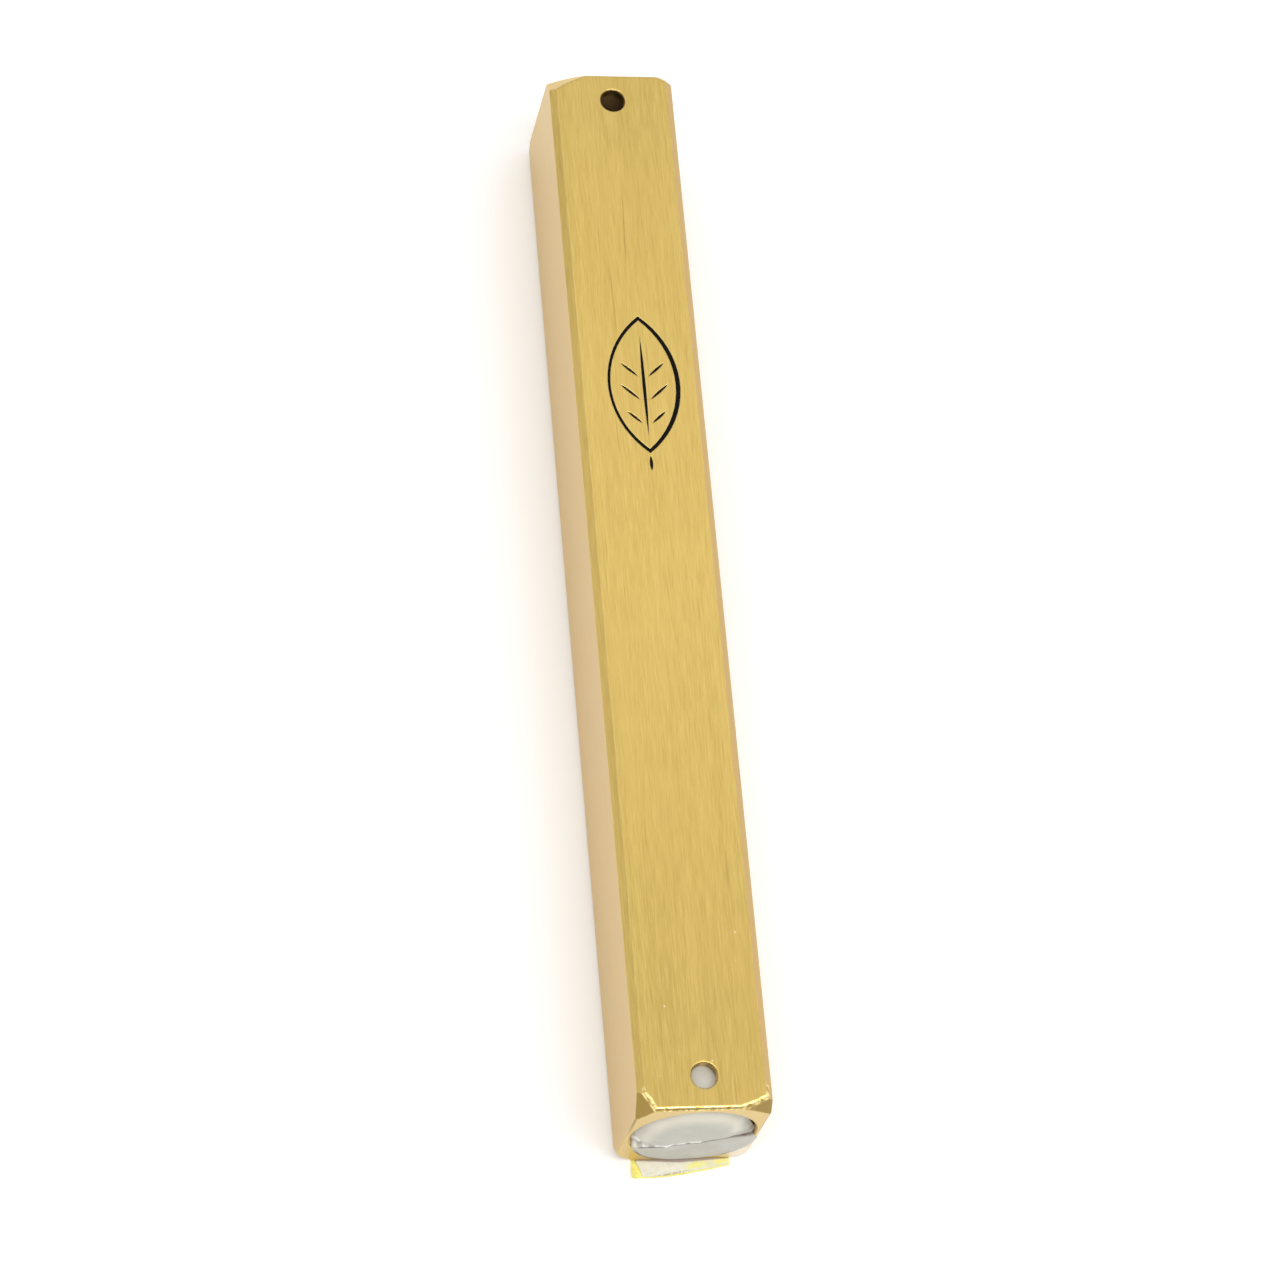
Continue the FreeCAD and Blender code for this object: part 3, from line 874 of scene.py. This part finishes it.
# Points of the slanted lower ends: x, and y from the case's lower end.
TAPE_END = (
    (-4.0, -1.78), (-3.2, -1.74), (-1.7, -1.68), (-0.6, -1.54), (0.5, -1.40), (3.0, -1.0),
    (5.3, -0.62),
)
LINER_END = (
    (-5.1, -1.85), (-3.5, -1.85), (-1.7, -1.80), (0.5, -1.55), (3.0, -1.13), (5.3, -0.70),
)
TAPE_LOWEST = LOWER_END - 1.8
LINER_LOWEST = LOWER_END - 1.85
TAPE_LEFT = -4.62
TAPE_RIGHT = 5.16
TAPE_BARE_TAPER = 0.62
TAPE_GAP_BELOW = 0.012
TAPE_GAP_ABOVE = 0.008
LINER_LEFT = -5.05
LINER_WIDTH = 10.35
LINER_CURL = 0.32
LINER_GAP_ABOVE = 0.01
# Below this height the rows of both strips are close together and end on the ragged line.
FINE_FROM = LOWER_END + 1.0
FINE_ROWS = 70
COARSE_ROWS = 60
STRIP_COLUMNS = 90


def strip_rows(top, bottom):
    coarse = steps(top, FINE_FROM, COARSE_ROWS)
    return coarse[:-1] + steps(FINE_FROM, bottom, FINE_ROWS)


def squeeze(y, end, bottom):
    """Moves a row near the bare end so that the last row meets the ragged end line."""
    if y > FINE_FROM:
        return y
    return FINE_FROM + (end - FINE_FROM) * (y - FINE_FROM) / (bottom - FINE_FROM)


def make_tape(material):
    mesh = bmesh.new()

    def spot(u, y):
        taper = TAPE_BARE_TAPER * smooth(y, LOWER_END + 0.3, TAPE_LOWEST)
        left = TAPE_LEFT + taper + 0.05 * ragged(0, y, 1.7, 6.0)
        right = TAPE_RIGHT + 0.03 * ragged(0, y, 1.1, 2.0)
        x = left + (right - left) * u
        rough = 0.07 * ragged(x, 0, 2.6, 1.0) + 0.03 * ragged(x, 0, 9.0, 4.0)
        end = max(LOWER_END + follow(TAPE_END, x) + rough, tape_low.y)
        return x, squeeze(y, end, TAPE_LOWEST), tape_low.z + TAPE_GAP_BELOW

    def thickness(u, y):
        """Full under the case; on the bare end the adhesive is thin and lumpy."""
        full = tape_high.z - TAPE_GAP_ABOVE - tape_low.z - TAPE_GAP_BELOW
        bare = smooth(y, LOWER_END, LOWER_END - 0.8)
        thin = 0.8 - 0.55 * smooth(y, LOWER_END - 0.6, TAPE_LOWEST)
        lumps = 0.05 * ragged(u * 10, y, 1.4, 3.0) + 0.02 * ragged(u * 10, y, 5.0, 5.0)
        return full * (1 - bare) + (full * thin + lumps) * bare

    columns = steps(0.0, 1.0, STRIP_COLUMNS)
    add_slab(mesh, columns, strip_rows(tape_high.y, TAPE_LOWEST), spot, thickness)
    finish_piece("milky_tape", mesh, "adhesive_tape", "case", material)


def make_liner(material):
    mesh = bmesh.new()

    def spot(u, y):
        x = LINER_LEFT + LINER_WIDTH * u + 0.02 * ragged(u, y, 0.9, 3.0)
        rough = 0.025 * ragged(x, 0, 3.0, 2.0)
        end = max(LOWER_END + follow(LINER_END, x) + rough, liner_low.y)
        row = squeeze(y, end, LINER_LOWEST)
        curl = LINER_CURL * smooth(x, -4.55, -5.1) * smooth(row, LOWER_END - 0.2, LOWER_END - 1.9)
        return x, row, liner_low.z + curl

    def thickness(_u, _y):
        return liner_high.z - LINER_GAP_ABOVE - liner_low.z

    columns = steps(0.0, 1.0, STRIP_COLUMNS)
    add_slab(mesh, columns, strip_rows(liner_high.y, LINER_LOWEST), spot, thickness)
    finish_piece("yellow_release_liner", mesh, "release_liner", "case", material)


# ---------------------------------------------------------------- scroll and sleeve

ROLL_TURNS = 4.1
ROLL_STEPS = 72
ROLL_ROWS = 44
ROLL_PITCH = 0.42
ROLL_SKEW = 0.22
SKIN_THICKNESS = 0.17


def make_scroll(material):
    """One long skin rolled up: thin layers with gaps, ends that don't quite line up."""
    mesh = bmesh.new()
    middle = (scroll_low + scroll_high) / 2
    outer = (scroll_high.x - scroll_low.x) / 2 - 0.03
    layers = []
    for lift in (0.0, SKIN_THICKNESS):
        grid = []
        for i in range(int(ROLL_TURNS * ROLL_STEPS) + 1):
            turns = i / ROLL_STEPS
            angle = 0.4 - 2 * math.pi * turns
            points = []
            for share in steps(0.0, 1.0, ROLL_ROWS):
                y = scroll_low.y + (scroll_high.y - scroll_low.y) * share
                skew = ROLL_SKEW * ragged(turns, 0, 1.4, 5.0) * (2 * share - 1)
                y = min(max(y + skew, scroll_low.y), scroll_high.y)
                radius = outer - ROLL_PITCH * turns - lift
                radius -= 0.05 + 0.05 * ragged(math.cos(angle) + turns, y * 0.03, 1.2, 6.0)
                radius -= 0.05 * smooth(turns, 3.5, ROLL_TURNS)
                x = middle.x + radius * math.cos(angle)
                points.append((x, y, middle.z + radius * math.sin(angle)))
            grid.append(add_row(mesh, points))
        layers.append(grid)
    close_sheet(mesh, *layers)
    finish_piece("rolled_parchment", mesh, "parchment_scroll", "scroll", material)


SLEEVE_SEGMENTS = 160
SLEEVE_ROWS = 50
SEAM_SEGMENT = 60
FILM_THICKNESS = 0.06


def make_sleeve(material):
    """A clear film tube, slightly out of round, with a welded seam along it."""
    mesh = bmesh.new()
    middle = (sleeve_low + sleeve_high) / 2
    outer = (sleeve_high.x - sleeve_low.x) / 2
    lengths = steps(sleeve_low.y, sleeve_high.y, SLEEVE_ROWS)
    rings = []
    for lift, run in ((0.0, lengths), (FILM_THICKNESS, lengths[::-1])):
        for y in run:
            points = []
            for segment in range(SLEEVE_SEGMENTS):
                angle = 2 * math.pi * segment / SLEEVE_SEGMENTS
                cosine, sine = math.cos(angle), math.sin(angle)
                radius = outer - 0.05 - lift
                radius += 0.035 * ragged(cosine * 2, sine * 2 + y * 0.06, 1.1, 2.0)
                radius += 0.03 * hump(segment, SEAM_SEGMENT, 1.6)
                radius = min(radius, outer - lift)
                points.append((middle.x + radius * cosine, y, middle.z + radius * sine))
            rings.append(add_row(mesh, points))
    for first, second in zip(rings, rings[1:] + rings[:1]):
        bridge(mesh, first, second)
    finish_piece("film_sleeve", mesh, "scroll_sleeve", "scroll", material)


# ---------------------------------------------------------------- floor, light, camera

FLOOR_WHITE = (0.885, 0.88, 0.875, 1)
FLOOR_PALE = (0.905, 0.90, 0.895, 1)
GLOW_TINT = (1.0, 0.97, 0.90, 1)


def pale_floor():
    """White card: matt and very faintly mottled. Seen from below it is clear."""
    n = new_nodes("pale_floor")
    place = n.place()
    mottle = n.noise(place, scale=0.02, detail=3.0)
    color = n.mix(n.spread(mottle, 0.35, 0.65), FLOOR_WHITE, FLOOR_PALE)
    card = n.node("ShaderNodeBsdfDiffuse", {"Color": color}).outputs[0]
    # Right under the case the card glows as painted light on the case's back, which is only seen
    # from below.
    x, y, _z = n.split(place)[0:3]
    hidden = n.product(
        n.spread(n.math("ABSOLUTE", x), case_high.x - 0.7, case_high.x - 1.5),
        n.spread(y, LOWER_END - 0.6, LOWER_END + 0.4),
        n.spread(y, case_high.y - 0.6, case_high.y - 1.6),
        UNDER_GLOW,
    )
    strength = n.math("ADD", hidden, FLOOR_GLOW)
    glow = n.node("ShaderNodeEmission", {"Color": GLOW_TINT, "Strength": strength}).outputs[0]
    card = n.node("ShaderNodeAddShader", {0: card, 1: glow}).outputs[0]
    clear = n.node("ShaderNodeBsdfTransparent").outputs[0]
    back = n.node("ShaderNodeNewGeometry").outputs["Backfacing"]
    return n.surface(n.node("ShaderNodeMixShader", {0: back, 1: card, 2: clear}).outputs[0])


def make_floor():
    mesh = bmesh.new()
    signs = ((-1, -1), (1, -1), (1, 1), (-1, 1))
    corners = [(x * FLOOR_HALF, y * FLOOR_HALF, -FLOOR_DROP) for x, y in signs]
    mesh.faces.new(add_row(mesh, corners))
    data = bpy.data.meshes.new("floor")
    mesh.to_mesh(data)
    mesh.free()
    floor = bpy.data.objects.new("floor", data)
    bpy.context.scene.collection.objects.link(floor)
    wear(floor, pale_floor())


def make_sky():
    """A white tent, darker low in front of the object."""
    world = bpy.data.worlds.new("studio")
    bpy.context.scene.world = world
    n = Nodes(world)
    way = n.node("ShaderNodeTexCoord").outputs["Generated"]
    height = n.spread(n.split(way)[2], 0.0, 0.5, WORLD_HORIZON, WORLD_ZENITH)
    card = n.vector("DOT_PRODUCT", way, Vector(DARK_CARD_WAY).normalized(), output=1)
    strength = n.math("MULTIPLY", height, n.spread(card, 0.70, 0.87, 1.0, DARK_CARD_LEFT))
    background = n.node("ShaderNodeBackground", {"Color": (1, 1, 1, 1), "Strength": strength})
    output = n.node("ShaderNodeOutputWorld")
    n.tree.links.new(background.outputs[0], output.inputs["Surface"])


def make_lamp():
    """One soft rectangular lamp above and in front, facing the object."""
    data = bpy.data.lights.new("soft_lamp", "AREA")
    data.shape = "RECTANGLE"
    data.size = KEY_WIDTH
    data.size_y = KEY_DEPTH
    data.energy = KEY_RADIANCE * math.pi * KEY_WIDTH * KEY_DEPTH
    lamp = bpy.data.objects.new("soft_lamp", data)
    way = KEY_WAY.normalized()
    lamp.location = way * KEY_DISTANCE
    lamp.rotation_mode = "QUATERNION"
    lamp.rotation_quaternion = way.to_track_quat("Z", "Y")
    bpy.context.scene.collection.objects.link(lamp)


def make_camera():
    back = Vector((
        math.sin(CAMERA_AZIMUTH) * math.cos(CAMERA_ELEVATION),
        -math.cos(CAMERA_AZIMUTH) * math.cos(CAMERA_ELEVATION),
        math.sin(CAMERA_ELEVATION),
    ))
    level = Vector((0, 0, 1)).cross(back).normalized()
    turned = Matrix.Rotation(CAMERA_ROLL, 3, back) @ level
    data = bpy.data.cameras.new("camera")
    data.lens = CAMERA_LENS
    data.clip_start = 0.01
    camera = bpy.data.objects.new("camera", data)
    axes = Matrix((turned, back.cross(turned), back)).transposed()
    camera.matrix_world = Matrix.Translation(CAMERA_AIM + back * CAMERA_DISTANCE) @ axes.to_4x4()
    bpy.context.scene.collection.objects.link(camera)
    bpy.context.scene.camera = camera


make_floor()
make_sky()
make_lamp()
make_camera()
bpy.context.scene.view_settings.view_transform = "Standard"

wear(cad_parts["case_body"], gold_anodised())
wear(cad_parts["engraving_enamel"], black_enamel())
make_bottom_plug(grey_silicone())
make_top_cap(gold_cap())
make_tape(white_adhesive())
make_liner(yellow_liner())
make_scroll(parchment())
make_sleeve(clear_film())
